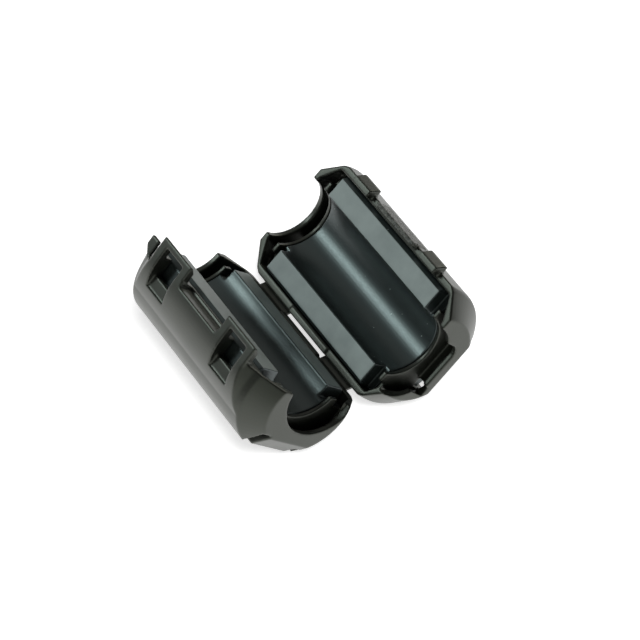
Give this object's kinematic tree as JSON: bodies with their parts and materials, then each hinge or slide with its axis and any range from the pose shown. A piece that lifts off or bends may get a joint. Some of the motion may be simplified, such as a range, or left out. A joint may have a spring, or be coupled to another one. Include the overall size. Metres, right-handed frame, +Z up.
{
  "type": "clip-on ferrite bead",
  "caption": "Open clip-on ferrite bead: black hinged case in two halves, each holding a grey half-ring ferrite core with a round cable channel; latch loops snap over hooks to close it.",
  "frame": {"origin": "on the floor under the middle of the hinge line", "axes": "+Y along the cable channels and the hinge line, +X from the loop half towards the hook half, +Z up"},
  "size_m": [0.0408, 0.0366, 0.0223],
  "materials": {
    "case_plastic": "black moulded nylon with a faint satin sheen",
    "ferrite": "sintered ferrite, ground matt on the mating faces and satin in the channel"
  },
  "bodies": {
    "base": {"base_shell": "case_plastic", "base_core": "ferrite", "hinge_film_far": "case_plastic", "hinge_film_near": "case_plastic"},
    "cover": {"cover_shell": "case_plastic", "cover_core": "ferrite"}
  },
  "joints": [
    {"name": "film_hinge", "type": "hinge", "parent": "base", "child": "cover", "pos_m": [0, 0, 0.00502], "axis": [0, 1, 0], "range_deg": [-84, 96], "stiffness_Nm_per_rad": 0.05, "deforming": ["hinge_film_far", "hinge_film_near"]}
  ]
}
